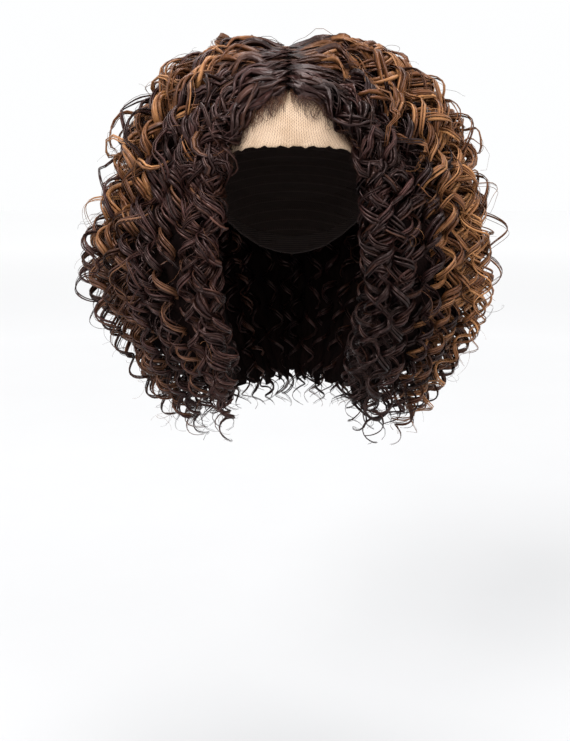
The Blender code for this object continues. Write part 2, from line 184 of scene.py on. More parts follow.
def hairPlace(sign, across, down, depth):
    # a place in the hair and the way outwards from it
    place = hairPoint(sign, across, down, depth)
    return place, hairPoint(sign, across, down, depth + hair["outStep"]) - place


# Beside and behind the parting the hair lies lower than its full height, which makes the dip
# of the outline there
dip = dict(least=0.30, beside=(0.006, 0.032), down=(0.22, 0.16))


def heightKept(sign, across, down):
    beside = np.abs(outerPoint(sign, across, down)[..., 0] - hair["partX"])
    kept = mixed(dip["least"], 1.0, ramp(beside, *dip["beside"]))
    return mixed(kept, 1.0, ramp(down, *dip["down"]))


# How far down from the top the front edge of the cap runs, by its angle from the face
def rimPolar(azimuth):
    share = readCurve(capRim["azimuth"], capRim["height"], np.abs(azimuth))
    height = share * head["crown"]
    depth = np.where(height > 0, head["crown"], head["skull"])
    return np.degrees(np.arccos(height / depth))


# Strands: thin closed tubes joined into one mesh for each piece. Each is a dictionary of
# places, two directions across it, half widths and tints.
tube = dict(corners=3, shiftAcross=1.7, shiftDown=0.37)


def tubeFrame(places, guide):
    along = unit(np.gradient(places, axis=0))
    first = unit(guide - along * np.sum(along * guide, axis=-1)[:, None])
    return first, np.cross(along, first)


def tubeRings(strand, corners):
    turns = math.pi / 2 + np.arange(corners) * math.tau / corners
    ring = strand["first"][:, None] * np.cos(turns)[:, None] * strand.get("flat", 1.0)
    ring = ring + strand["second"][:, None] * np.sin(turns)[:, None]
    return strand["places"][:, None] + ring * strand["half"][:, None, None]


def tubeFaces(count, corners, base):
    low = base + np.arange(count - 1)[:, None] * corners
    here = low + np.arange(corners)
    after = low + (np.arange(corners) + 1) % corners
    quads = np.stack((here, after, after + corners, here + corners), -1)
    ends = (base + np.arange(corners)[::-1], base + (count - 1) * corners + np.arange(corners))
    return np.concatenate((quads.ravel(), *ends)), [4] * ((count - 1) * corners) + [corners] * 2


def tubeMap(places, corners, start):
    steps = np.linalg.norm(np.diff(places, axis=0), axis=1)
    length = start[1] + np.concatenate(((0.0,), np.cumsum(steps)))
    across = start[0] + np.stack((np.arange(corners), np.arange(corners) + 1), -1) / corners
    shape = (len(places) - 1, corners, 4)
    u = np.broadcast_to(across[:, (0, 1, 1, 0)], shape)
    v = np.stack((length[:-1], length[:-1], length[1:], length[1:]), -1)
    sideMap = np.stack((u, np.broadcast_to(v[:, None], shape)), -1).reshape(-1, 2)
    return np.concatenate((sideMap, np.zeros((2 * corners, 2))))


def strandMesh(name, strands):
    places, faces, sizes, tints, spots, base = [], [], [], [], [], 0
    corners = tube["corners"]
    for number, strand in enumerate(strands):
        count = len(strand["places"])
        shift = (number * tube["shiftAcross"], number * tube["shiftDown"])
        places.append(tubeRings(strand, corners).reshape(-1, 3))
        tints.append(np.repeat(strand["tints"], corners, axis=0))
        loop, size = tubeFaces(count, corners, base)
        faces.append(loop)
        sizes.extend(size)
        spots.append(tubeMap(strand["places"], corners, shift))
        base += count * corners
    return joinedMesh(name, places, faces, sizes, tints, spots)


def gridQuads(grid):
    return np.stack((grid[:-1, :-1], grid[1:, :-1], grid[1:, 1:], grid[:-1, 1:]), -1).reshape(-1, 4)


def joinedMesh(name, places, faces, sizes, tints, spots):
    places, faces = np.concatenate(places), np.concatenate(faces)
    mesh = bpy.data.meshes.new(name)
    mesh.vertices.add(len(places))
    mesh.vertices.foreach_set("co", places.astype(np.float32).ravel())
    mesh.loops.add(len(faces))
    mesh.loops.foreach_set("vertex_index", faces.astype(np.int32))
    mesh.polygons.add(len(sizes))
    starts = np.concatenate(((0,), np.cumsum(sizes)[:-1]))
    mesh.polygons.foreach_set("loop_start", starts.astype(np.int32))
    mesh.update(calc_edges=True)
    mesh.shade_smooth()
    colours = np.concatenate(tints)
    colours = np.concatenate((colours, np.ones((len(colours), 1))), axis=1)
    tint = mesh.attributes.new("tint", "FLOAT_COLOR", "POINT")
    tint.data.foreach_set("color", colours.astype(np.float32).ravel())
    layer = mesh.uv_layers.new(name="strand")
    layer.data.foreach_set("uv", np.concatenate(spots).astype(np.float32).ravel())
    made = bpy.data.objects.new(name, mesh)
    bpy.context.scene.collection.objects.link(made)
    return made


# Shader maths: a socket that Python's operators act on, and a maker of nodes
class Reading:
    def __init__(self, finish, socket):
        self.finish = finish
        self.socket = socket

    def join(self, operation, first, second):
        return self.finish.add("ShaderNodeMath", {"operation": operation}, {0: first, 1: second})

    def __add__(self, other):
        return self.join("ADD", self, other)

    def __radd__(self, other):
        return self.join("ADD", other, self)

    def __sub__(self, other):
        return self.join("SUBTRACT", self, other)

    def __rsub__(self, other):
        return self.join("SUBTRACT", other, self)

    def __mul__(self, other):
        return self.join("MULTIPLY", self, other)

    def __truediv__(self, other):
        return self.join("DIVIDE", self, other)


class Finish:
    def __init__(self, name, **constants):
        self.material = bpy.data.materials.new(name)
        self.material.use_nodes = True
        self.tree = self.material.node_tree
        self.shader = self.tree.nodes["Principled BSDF"]
        for socket, value in constants.items():
            self.shader.inputs[socket.replace("_", " ")].default_value = value

    def add(self, kind, settings, inputs, output=0):
        node = self.tree.nodes.new(kind)
        for key, value in settings.items():
            if key == "stops":
                self.setStops(node.color_ramp, value)
            else:
                setattr(node, key, value)
        for key, value in inputs.items():
            self.feed(node.inputs[key], value)
        return Reading(self, node.outputs[output])

    def setStops(self, ramp, stops):
        while len(ramp.elements) < len(stops):
            ramp.elements.new(0.5)
        for element, (place, colour) in zip(ramp.elements, stops):
            element.position = place
            element.color = (*colour, 1.0)

    def feed(self, socket, value):
        if isinstance(value, Reading):
            self.tree.links.new(value.socket, socket)
        else:
            socket.default_value = value

    def place(self):
        return self.add("ShaderNodeTexCoord", {}, {}, "Object")

    def strandMap(self):
        return self.add("ShaderNodeUVMap", {"uv_map": "strand"}, {})

    def parts(self, value, kind="ShaderNodeSeparateXYZ"):
        first = self.add(kind, {}, {0: value})
        return [Reading(self, socket) for socket in first.socket.node.outputs]

    def wave(self, operation, value):
        return self.add("ShaderNodeMath", {"operation": operation}, {0: value})

    def toned(self, stops, share):
        return self.add("ShaderNodeValToRGB", {"stops": stops}, {0: share})

    def blend(self, share, first, second):
        return self.add("ShaderNodeMix", {"data_type": "RGBA"}, {0: share, 6: first, 7: second}, 2)

    def noise(self, place, scale, detail=3.0, rough=0.55):
        inputs = {"Vector": place, "Scale": scale, "Detail": detail, "Roughness": rough}
        return self.add("ShaderNodeTexNoise", {}, inputs)

    def stretched(self, place, scale):
        return self.add("ShaderNodeMapping", {}, {"Vector": place, "Scale": scale})

    def bump(self, height, distance, strength):
        inputs = {"Strength": strength, "Distance": distance, "Height": height}
        return self.add("ShaderNodeBump", {}, inputs)

    def dress(self, **sockets):
        for socket, value in sockets.items():
            self.feed(self.shader.inputs[socket.replace("_", " ")], value)
        return self.material

    def dressFrom(self, table, tone, height, **sockets):
        normal = self.bump(height, table["bump"], table["bumpStrength"])
        return self.dress(Base_Color=self.toned(table["tones"], tone), Normal=normal, **sockets)


hairFinish = dict(
    darkTones=(
        (0.0, (0.0014, 0.0006, 0.0006)),
        (0.45, (0.0078, 0.0028, 0.0025)),
        (1.0, (0.054, 0.023, 0.020)),
    ),
    caramelTones=(
        (0.0, (0.021, 0.0074, 0.0031)),
        (0.45, (0.115, 0.043, 0.0155)),
        (1.0, (0.41, 0.195, 0.076)),
    ),
    sheen=0.27,
    sheenTint=(1.0, 0.70, 0.66, 1.0),
    streaks=(3.0, 22.0, 1.0),
    fibreDetail=(3.0, 0.7),
    fibreTone=1.2,
    cloudScale=48.0,
    cloudTone=0.5,
    roughness=0.34,
    roughSpread=0.3,
    bump=0.00012,
    bumpStrength=0.6,
)


def hairMaterial(name):
    sheen, tint = hairFinish["sheen"], hairFinish["sheenTint"]
    finish = Finish(name, Specular_IOR_Level=sheen, Specular_Tint=tint)
    tint = finish.add("ShaderNodeAttribute", {"attribute_name": "tint"}, {})
    light, shade = finish.parts(tint, "ShaderNodeSeparateColor")[:2]
    streaks = finish.stretched(finish.strandMap(), hairFinish["streaks"])
    fibre = finish.noise(streaks, 1.0, *hairFinish["fibreDetail"])
    cloud = finish.noise(finish.place(), hairFinish["cloudScale"], 1.0)
    tone = shade + (fibre - 0.5) * hairFinish["fibreTone"] + (cloud - 0.5) * hairFinish["cloudTone"]
    dark = finish.toned(hairFinish["darkTones"], tone)
    pale = finish.toned(hairFinish["caramelTones"], tone)
    return finish.dress(
        Base_Color=finish.blend(light, dark, pale),
        Roughness=hairFinish["roughness"] + (fibre - 0.5) * hairFinish["roughSpread"],
        Normal=finish.bump(fibre, hairFinish["bump"], hairFinish["bumpStrength"]),
    )


# Locks. Each is a bundle of strands wound round an axis that runs down the hair. It leaves its
# root flat and smooth, waves loosely and then winds tighter towards its end. A pair of numbers
# is where a change starts and how long it takes, or the least and the most of a random draw.
drift = dict(octaves=3, closer=1.6, fainter=1.5, total=2.1)
winding = dict(
    samples=90, leastSamples=8, acrossOver=0.45, acrossDrift=0.012, driftOver=0.25, furthest=1.01,
    leastThick=0.02, depthDrift=0.04, tighten=(0.35, 0.5), rootPitch=0.070, pitchDrift=0.15,
    rootRadius=0.12, radiusDrift=0.22, crossOver=0.03, clear=0.0015,
)
bundle = dict(
    settleOver=0.10, rootWidth=1.9, tipWidth=0.5, tipOver=0.16, tipGather=0.35,
    tipGatherOver=0.04, gatherDrift=0.25, rootGather=0.30, rootOver=0.014, rootThin=0.40,
    thickness=0.40, rootFlat=0.32, flat=0.7, twistLength=0.15, lieFlat=0.07, placeSpread=0.3,
    placeDrift=0.6, shorter=0.9, leastKept=6,
)
strandKinds = dict(
    lock=dict(reach=(0.45, 0.80), reachDrift=0.18, phaseDrift=0.07),
    stray=dict(reach=(0.9, 1.9), reachDrift=0.5, phaseDrift=0.25),
)
strandSize = dict(
    share=0.41, spread=(0.75, 1.2), strayHalf=0.00024, tipHalf=0.00014, rootStart=0.35,
    tipLeft=0.1, tipOver=0.03,
)
tinting = dict(
    lightOver=0.05, lowOver=0.16, oddChance=0.14, oddLight=0.4, lightSpread=0.05,
    fleckChance=0.03, fleckLight=0.18, shade=0.45, shadeSpread=0.10, leastShade=0.02,
)


def slowNoise(rng, count, waves=3.0):
    t = np.linspace(0.0, 1.0, count)
    total = np.zeros(count)
    for octave in range(drift["octaves"]):
        turns = waves * (0.5 + rng.random()) * drift["closer"] ** octave
        total += np.sin(math.tau * (turns * t + rng.random())) / drift["fainter"] ** octave
    return total / drift["total"]


def spread(turn, turns, rows):
    return np.stack([np.interp(turn, turns, rows[:, i]) for i in range(3)], -1)


def windLock(rng, sign, spec):
    # the axis in the hair's own space: its helix just touches the depth that the row asks for
    count = winding["samples"]
    t = np.linspace(0.0, 1.0, count)
    down = mixed(spec["root"], spec["end"], t)
    across = mixed(spec["rootAcross"], spec["across"], eased(t / winding["acrossOver"]))
    across = across + winding["acrossDrift"] * slowNoise(rng, count) * eased(t / winding["driftOver"])
    across = np.minimum(across, winding["furthest"])
    thick = outerPoint(sign, across, down) - innerPoint(sign, across, down)
    thick = np.linalg.norm(thick, axis=1)
    tight = ramp(down, *winding["tighten"])
    radius = mixed(spec["radius"], spec["tipRadius"], tight)
    depth = spec["depth"] - radius / np.maximum(thick, winding["leastThick"])
    depth = depth + winding["depthDrift"] * slowNoise(rng, count)
    depth = mixed(spec["rootDepth"], depth, eased(t / spec["rise"])) * heightKept(sign, across, down)
    axis, outward = hairPlace(sign, across, down, depth)
    # the same, at even steps of the winding
    steps = np.linalg.norm(np.diff(axis, axis=0), axis=1)
    length = np.concatenate(((0.0,), np.cumsum(steps)))
    pitch = mixed(spec["pitch"], spec["tipPitch"], tight)
    pitch = mixed(winding["rootPitch"], pitch, eased(length / spec["loosen"]))
    pitch = pitch * (1.0 + winding["pitchDrift"] * slowNoise(rng, count))
    turns = np.concatenate(((0.0,), np.cumsum(steps / pitch[1:])))
    samples = max(int(turns[-1] * spec["steps"]), winding["leastSamples"])
    turn = np.linspace(0.0, turns[-1], samples)
    along = np.interp(turn, turns, length)
    centre = spread(turn, turns, axis)
    centre[:, 0] -= sign * spec["crossing"] * (1.0 - eased(along / winding["crossOver"]))
    normal, sideways = tubeFrame(centre, spread(turn, turns, outward))
    wound = mixed(winding["rootRadius"], 1.0, eased(along / spec["loosen"]))
    radius = np.interp(turn, turns, radius) * wound
    radius = radius * (1.0 + winding["radiusDrift"] * slowNoise(rng, samples, 4.0))
    # clear of the cap and the head
    height = np.interp(turn, turns, depth * thick)
    lift = np.maximum(radius + winding["clear"] - height, 0.0)
    centre = centre + normal * lift[:, None]
    phase = math.tau * (turn * spec["hand"] + spec["phase"])
    return dict(
        centre=centre, normal=normal, sideways=sideways, radius=radius, phase=phase,
        along=along, down=np.interp(turn, turns, down), samples=samples,
    )


def outOfHead(places):
    # over the head plane no strand lies inside the cap
    room = head["wall"] + head["clearance"]
    length = np.where(places[:, 1] < 0, head["front"], head["back"]) + room
    shares = places / (head["halfWidth"] + room, 1.0, head["crown"] + room)
    shares[:, 1] = places[:, 1] / length
    size = np.minimum(np.linalg.norm(shares, axis=1), 1.0)
    return places / np.where(places[:, 2] > 0, size, 1.0)[:, None]


def bundleShape(rng, spec, wound):
    # how wide, gathered and thin the bundle is along its length, and how flat its strands are
    along = wound["along"]
    left = along[-1] - along
    fromRoot = eased(along / bundle["settleOver"])
    width = spec["width"] * mixed(bundle["rootWidth"], 1.0, fromRoot)
    width = width * mixed(bundle["tipWidth"], 1.0, eased(left / bundle["tipOver"]))
    gather = mixed(bundle["tipGather"], 1.0, eased(left / bundle["tipGatherOver"]))
    gather = gather * (1.0 + bundle["gatherDrift"] * slowNoise(rng, len(along)))
    gather = gather * mixed(bundle["rootGather"], 1.0, eased(along / bundle["rootOver"]))
    thin = mixed(bundle["rootThin"], 1.0, fromRoot) * bundle["thickness"]
    return width, gather, thin, mixed(bundle["rootFlat"], bundle["flat"], fromRoot)


def strandHalf(rng, spec, along, width, stray):
    # how many of its samples a strand keeps, and its half width at each
    shorter = int(rng.random() ** 2 * spec["steps"] * bundle["shorter"])
    keep = max(len(along) - shorter, bundle["leastKept"])
    half = strandSize["strayHalf"]
    if not stray:
        half = strandSize["share"] * width * rng.uniform(*strandSize["spread"])
    half = (half * eased(strandSize["rootStart"] + along / bundle["rootOver"]))[:keep]
    taper = eased((along[keep - 1] - along[:keep]) / strandSize["tipOver"] + strandSize["tipLeft"])
    return keep, np.maximum(half * taper, strandSize["tipHalf"])


def strandTints(rng, spec, wound):
    # three shares: how caramel, how pale (less so where shade is painted in beside the face and inside)
    # and how far along
    along = wound["along"]
    light = spec["light"] * ramp(along, spec["lightFrom"], tinting["lightOver"])
    low = ramp(wound["down"], spec["lowFrom"], tinting["lowOver"])
    light = light * mixed(1.0, spec["lowLight"], low)
    light = light * (tinting["oddLight"] if rng.random() < tinting["oddChance"] else 1.0)
    light = light + tinting["lightSpread"] * rng.normal()
    light = light + (0.0, tinting["fleckLight"])[rng.random() < tinting["fleckChance"]]
    shade = tinting["shade"] + tinting["shadeSpread"] * rng.normal() + spec["shade"]
    shade = np.clip(shade, tinting["leastShade"], 1.0)
    return np.stack((np.clip(light, 0.0, 1.0), np.full(len(along), shade), along / along[-1]), -1)


def lockStrands(rng, sign, spec):
    wound = windLock(rng, sign, spec)
    samples, along = wound["samples"], wound["along"]
    width, gather, thin, flat = bundleShape(rng, spec, wound)
    twist = spec["hand"] * math.tau * along / bundle["twistLength"]
    # at its root the bundle lies flat on the cap, and further on across the winding
    rootLean = math.pi * round(wound["phase"][0] / math.pi)
    lean = mixed(rootLean, wound["phase"], eased(along / bundle["lieFlat"]))
    lieAcross = np.cos(lean)[:, None] * wound["normal"] + np.sin(lean)[:, None] * wound["sideways"]
    strands = []
    for number in range(spec["strands"] + spec["strays"]):
        stray = number >= spec["strands"]
        kind = strandKinds["stray" if stray else "lock"]
        reach = rng.uniform(*kind["reach"])
        place = math.tau * number / spec["strands"] + rng.normal(0.0, bundle["placeSpread"]) + twist
        place = place + bundle["placeDrift"] * slowNoise(rng, samples)
        reach = reach * (1.0 + kind["reachDrift"] * slowNoise(rng, samples, 4.0))
        phase = wound["phase"] + kind["phaseDrift"] * (slowNoise(rng, samples) + rng.normal())
        cos, sin = np.cos(phase)[:, None], np.sin(phase)[:, None]
        radial = cos * wound["normal"] + sin * wound["sideways"]
        core = wound["centre"] + radial * wound["radius"][:, None]
        radial, binormal = tubeFrame(core, lieAcross)
        size = width * gather * reach
        path = core + binormal * (size * np.cos(place))[:, None]
        path = path + radial * (size * thin * np.sin(place))[:, None]
        path = outOfHead(path)
        radial, binormal = tubeFrame(path, radial)
        keep, half = strandHalf(rng, spec, along, width, stray)
        strands.append(dict(
            places=path[:keep], first=radial[:keep], second=binormal[:keep], half=half,
            tints=strandTints(rng, spec, wound)[:keep], flat=flat[:keep, None, None],
        ))
    return strands


# Where the locks are caramel, how far down they stay so on each side, and how much painted shade darkens
# the locks beside the face
caramel = dict(
    left=dict(chance=0.78, lowFrom=0.55, inner=0.15, lowLeast=0.0, lowMost=0.65, paintedFaceShade=0.0),
    right=dict(chance=0.86, lowFrom=0.70, inner=0.07, lowLeast=0.1, lowMost=0.90, paintedFaceShade=0.2),
)
highlight = dict(
    side=(0.07, 0.12), behind=(0.55, 0.2), behindLess=0.45, upper=("crest", "top"),
    upperChance=0.96, outer=(0.72, 0.16), light=(0.7, 1.0),
)


def highlightOf(rng, tone, name, across, depth):
    # how caramel a lock is: most on the outer ones over the temples and ears
    behind = highlight["behindLess"] * ramp(across, *highlight["behind"])
    side = ramp(across, *highlight["side"]) * (1.0 - behind)
    chance = highlight["upperChance"] if name in highlight["upper"] else tone["chance"]
    if rng.random() > side * chance * ramp(depth, *highlight["outer"]):
        return 0.0
    return rng.uniform(*highlight["light"])


# A row for each layer of locks on one side. The inner layers come first
layerNames = (
    "name count rootStart rootEnd start end root rootSpread tip tipSpread depth depthSpread"
    " rise width swell strands strays steps"
).split()
layerRows = (
    ("nape", 12, 0.10, 1.0, 0.10, 1.0, 0.44, 0.02, 0.97, 0.05, 0.22, 0.04, 0.05, 0.0034, 1.0, 3, 0, 8),
    ("middle", 12, 0.06, 1.0, 0.06, 1.0, 0.36, 0.04, 0.98, 0.04, 0.50, 0.06, 0.12, 0.0034, 1.0, 3, 0, 8),
    ("fill", 12, 0.02, 1.0, 0.03, 1.0, 0.30, 0.06, 0.98, 0.04, 0.70, 0.05, 0.12, 0.0036, 1.0, 4, 0, 9),
    ("ends", 15, -0.01, 1.0, 0.00, 1.0, 0.66, 0.06, 1.00, 0.03, 0.66, 0.24, 0.06, 0.0034, 1.0, 4, 1, 10),
    ("under", 17, 0.00, 1.0, 0.03, 1.0, 0.20, 0.06, 0.98, 0.05, 0.82, 0.05, 0.12, 0.0036, 1.0, 4, 1, 10),
    ("long", 20, 0.00, 1.0, 0.02, 1.0, 0.06, 0.05, 0.98, 0.04, 0.91, 0.06, 0.10, 0.0032, 1.0, 4, 1, 14),
    ("over", 20, 0.00, 1.0, 0.01, 1.0, 0.008, 0.008, 0.76, 0.10, 0.95, 0.05, 0.12, 0.0036, 1.1, 4, 1, 16),
    ("top", 16, 0.00, 1.0, 0.03, 1.0, 0.01, 0.01, 0.50, 0.08, 0.97, 0.05, 0.12, 0.0038, 1.1, 4, 1, 16),
    ("crest", 8, 0.05, 0.7, 0.08, 0.75, 0.01, 0.01, 0.36, 0.08, 1.12, 0.05, 0.16, 0.0036, 2.0, 5, 1, 22),
    ("front", 11, 0.01, 0.06, 0.00, 0.07, 0.10, 0.10, 0.70, 0.20, 0.86, 0.12, 0.16, 0.0036, 1.1, 4, 1, 16),
    ("loose", 13, 0.04, 1.0, 0.10, 1.0, 0.12, 0.08, 0.66, 0.20, 1.09, 0.05, 0.14, 0.0022, 1.5, 3, 1, 17),
    ("edge", 8, 0.00, 0.03, 0.00, 0.03, 0.34, 0.08, 0.94, 0.06, 0.60, 0.30, 0.12, 0.0030, 1.0, 4, 1, 12),
)
layers = [dict(zip(layerNames, row)) for row in layerRows]
insideLayers = ("nape", "middle")
shortLayers = ("front", "edge", "ends")
# The two curls beside the face on each side
faceNames = "across rootAcross root end depth radius tipRadius pitch tipPitch phase width".split()
faceLocks = dict(
    left=(
        (-0.020, 0.03, 0.16, 0.47, 0.26, 0.0060, 0.0066, 0.034, 0.030, 0.10, 0.0030),
        (-0.008, 0.03, 0.28, 0.64, 0.34, 0.0058, 0.0062, 0.036, 0.028, 0.45, 0.0030),
    ),
    right=(
        (-0.016, 0.04, 0.18, 0.44, 0.24, 0.0050, 0.0056, 0.032, 0.024, 0.60, 0.0026),
        (-0.006, 0.03, 0.30, 0.66, 0.34, 0.0058, 0.0060, 0.034, 0.028, 0.20, 0.0030),
    ),
)


# What differs from lock to lock: the least and the most of each measure, then how it is chosen
ranges = dict(
    radius=(0.0056, 0.0100), tipRadius=(0.0042, 0.0070), pitch=(0.031, 0.040),
    tipPitch=(0.020, 0.027), pitchShare=(0.93, 1.08), widthShare=(0.8, 1.2),
    crossing=(-0.001, 0.004), lightFrom=(-0.02, 0.03),
)
choices = dict(
    usual=0.75, loosen=0.085, sweep=1.6, phaseSpread=0.12, leastRoot=0.002, mostEnd=1.02,
    sewnBelow=0.5, sewnDepth=0.35, crossAbove=0.1, shortLoosen=0.5, shadeSpread=0.13,
    paintedInsideShade=0.10, face=(0.10, -0.06), placeSpread=0.3, faceLoosen=0.02, lowFrom=0.36,
    lowMost=0.25, outerOver=0.15,
)


def lockSpec(rng, sign, layer, share, sweep):
    across = mixed(layer["start"], layer["end"], share)
    depth = layer["depth"] + layer["depthSpread"] * rng.uniform(-1.0, 1.0)
    big = rng.random()
    usual = rng.random() < choices["usual"]
    tone = caramel["left" if sign < 0 else "right"]
    outer = ramp(across, tone["inner"], choices["outerOver"])
    short = layer["name"] in shortLayers
    crosses = layer["root"] < choices["crossAbove"]
    # painted shade: the locks beside the face on the right and the inner neck curls get a darker tone, as
    # shade falls there
    paintedShade = tone["paintedFaceShade"] * ramp(across, *choices["face"])
    if layer["name"] in insideLayers:
        paintedShade = choices["paintedInsideShade"]
    return dict(
        layer=layer["name"],
        across=across,
        rootAcross=mixed(layer["rootStart"], layer["rootEnd"], share),
        root=max(layer["root"] + layer["rootSpread"] * rng.uniform(-1.0, 1.0), choices["leastRoot"]),
        end=min(layer["tip"] + layer["tipSpread"] * rng.uniform(-1.0, 1.0), choices["mostEnd"]),
        rootDepth=choices["sewnDepth"] if layer["root"] > choices["sewnBelow"] else 0.0,
        crossing=rng.uniform(*ranges["crossing"]) if crosses else 0.0,
        steps=layer["steps"],
        loosen=choices["loosen"] * (choices["shortLoosen"] if short else 1.0),
        depth=depth,
        rise=layer["rise"],
        radius=mixed(*ranges["radius"], big) * layer["swell"],
        tipRadius=mixed(*ranges["tipRadius"], big),
        pitch=mixed(*ranges["pitch"], big) * rng.uniform(*ranges["pitchShare"]) * layer["swell"],
        tipPitch=mixed(*ranges["tipPitch"], big) * rng.uniform(*ranges["pitchShare"]),
        hand=sign if usual else -sign,
        phase=sweep + choices["sweep"] * share
        + (choices["phaseSpread"] * rng.normal() if usual else rng.random()),
        strands=layer["strands"],
        strays=layer["strays"],
        width=layer["width"] * rng.uniform(*ranges["widthShare"]),
        light=highlightOf(rng, tone, layer["name"], across, depth),
        lightFrom=rng.uniform(*ranges["lightFrom"]),
        lowLight=rng.uniform(tone["lowLeast"], mixed(choices["lowMost"], tone["lowMost"], outer)),
        lowFrom=mixed(choices["lowFrom"], tone["lowFrom"], outer),
        shade=choices["shadeSpread"] * rng.normal() - paintedShade,
    )


def lockSpecs(rng, side, sign):
    specs = []
    for layer in layers:
        sweep = rng.random()
        for i in range(layer["count"]):
            moved = rng.uniform(-choices["placeSpread"], choices["placeSpread"])
            share = (i + 0.5 + moved) / layer["count"]
            specs.append(lockSpec(rng, sign, layer, share, sweep))
    front = next(layer for layer in layers if layer["name"] == "front")
    for row in faceLocks[side]:
        spec = lockSpec(rng, sign, front, 0.0, 0.0)
        spec.update(zip(faceNames, row))
        spec.update(light=0.0, hand=sign, loosen=choices["faceLoosen"])
        specs.append(spec)
    return specs


# The dense hair under the ringlets: one closed slab for each section, which shuts out the light. It is
# coloured near black, darker than the hair itself, as painted shade between the ringlets
mass = dict(
    columns=24, rows=44, depth=0.62, lowDepth=0.70, low=(0.5, 0.16), faceDepth=0.45,
    face=(-0.01, 0.08), rootDepth=0.12, rootOver=0.34, tipDepth=0.45, tip=(0.84, 0.16), end=0.955,
    ragged=0.007, raggedWaves=((61.0, 0.0, 1.0), (143.0, 1.0, 1.0), (233.0, 0.0, 0.7)),
    faceShorter=0.03, faceEnd=(0.04, -0.04), hollow=(0.02, 0.22), hollowDown=(0.45, 0.06),
    hollowRoot=(-0.01, 0.02), hollowFill=0.4, ripple=0.0018, rippleRise=4.0, mapWidth=0.010,
    mapLength=0.44, mapApart=5.0, wave=0.030, tint=(0.0, 0.25, 0.5),
)


def massPoint(sign, across, down, depth):
    place, outward = hairPlace(sign, across, down, depth)
    ripple = np.sin(across * 95.0 + 2.2 * np.sin(down * 60.0)) + np.sin(down * 83.0 + across * 31.0)
    ripple = ripple * mass["ripple"] * eased(depth * mass["rippleRise"])
    return place + unit(outward) * ripple[..., None]


def massDepths(sign, across, down, t):
    # how deep the outside and the inside of the slab lie
    fill = mixed(mass["depth"], mass["lowDepth"], ramp(down, *mass["low"]))
    fill = fill * mixed(mass["faceDepth"], 1.0, ramp(across, *mass["face"]))
    fill = fill * mixed(mass["rootDepth"], 1.0, eased(down / mass["rootOver"]))
    fill = fill * mixed(1.0, mass["tipDepth"], ramp(t, *mass["tip"])) * heightKept(sign, across, down)
    hollow = mixed(*mass["hollow"], ramp(down, *mass["hollowDown"])) * ramp(down, *mass["hollowRoot"])
    return fill, hollow * np.minimum(fill / mass["hollowFill"], 1.0)


def massMesh(name, sign, start, end):
    across, t = np.meshgrid(
        np.linspace(start, end, mass["columns"] + 1), np.linspace(0.0, 1.0, mass["rows"] + 1)
    )
    # the lower end is uneven, as the ends of many ringlets are
    ragged = sum(size * np.sin(across * turns + begin) for turns, begin, size in mass["raggedWaves"])
    down = mass["end"] + mass["ragged"] * ragged
    down = t * (down - mass["faceShorter"] * ramp(across, *mass["faceEnd"]))
    fill, hollow = massDepths(sign, across, down, t)
    inside = massPoint(sign, across, down, hollow).reshape(-1, 3)
    outside = massPoint(sign, across, down, fill).reshape(-1, 3)
    count = len(outside)
    grid = np.arange(count).reshape(across.shape)
    quads = [gridQuads(grid)]
    quads.append(quads[0][:, ::-1] + count)
    rim = np.concatenate((grid[0, :-1], grid[:-1, -1], grid[-1, :0:-1], grid[:0:-1, 0]))
    after = np.roll(rim, -1)
    quads.append(np.stack((rim, after, after + count, rim + count), -1))
    quads = np.concatenate(quads)
    quads = quads[:, ::-1] if sign < 0 else quads
    places = np.concatenate((outside, inside))
    lengthDown = down.ravel() * mass["mapLength"]
    sway = 0.5 * np.sin(math.tau * lengthDown / mass["wave"])
    spot = np.stack((across.ravel() * 0.5 / mass["mapWidth"] + sway, lengthDown), -1)
    spots = np.concatenate((spot, spot + mass["mapApart"]))[quads.ravel()]
    tints = np.tile(mass["tint"], (len(places), 1))
    return joinedMesh(name, [places], [quads.ravel()], [4] * len(quads), [tints], [spots])


def sectionOf(across):
    return next((name for name, start, end in sections if across < end), sections[-1][0])


rng = np.random.default_rng(11)
darkHair = hairMaterial("darkHair")
curlHair = hairMaterial("curlHair")


# the slab stands for the dense dark hair under the ringlets; its near-black tones, darker than that hair,
# are painted shade
underShadeFinish = dict(
    tones=((0.3, (0.0008, 0.0004, 0.0004)), (0.75, (0.0075, 0.0034, 0.0029))), sheen=0.03,
    roughness=0.8, streaks=(1.0, 9.0, 1.0), fibreDetail=(4.0, 0.7), bump=0.0012, bumpStrength=0.8,
)


def underShadeMaterial():
    sheen, roughness = underShadeFinish["sheen"], underShadeFinish["roughness"]
    finish = Finish("underHair", Specular_IOR_Level=sheen, Roughness=roughness)
    streaks = finish.stretched(finish.strandMap(), underShadeFinish["streaks"])
    fibre = finish.noise(streaks, 1.0, *underShadeFinish["fibreDetail"])
    return finish.dressFrom(underShadeFinish, fibre, fibre)


underHair = underShadeMaterial()


def finishHair(piece, material, nodes):
    piece.data.materials.append(material)
    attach(piece, "root")
    if nodes:
        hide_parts(*nodes)
    print("wig:", piece.name, sum(len(f.vertices) - 2 for f in piece.data.polygons), "triangles")


for side, sign in sides:
    for name, start, end in sections:
        piece = massMesh(f"underHair{name.title()}{side.title()}", sign, start, end)
        finishHair(piece, underHair, [f"weft_hair_{name}_{side}"])

strandsBy = {}
for side, sign in sides:
    for spec in lockSpecs(rng, side, sign):
        kind = "neckCurls" if spec["layer"] in insideLayers else "ringlets"
        key = (kind, "" if kind == "neckCurls" else sectionOf(spec["across"]), side)
        strandsBy.setdefault(key, []).extend(lockStrands(rng, sign, spec))
for (kind, section, side), strands in strandsBy.items():
    piece = strandMesh(kind + section.title() + side.title(), strands)
    if kind == "ringlets":
        finishHair(piece, curlHair, [f"curls_{section}_{side}"])
    else:
        finishHair(piece, darkHair, [])


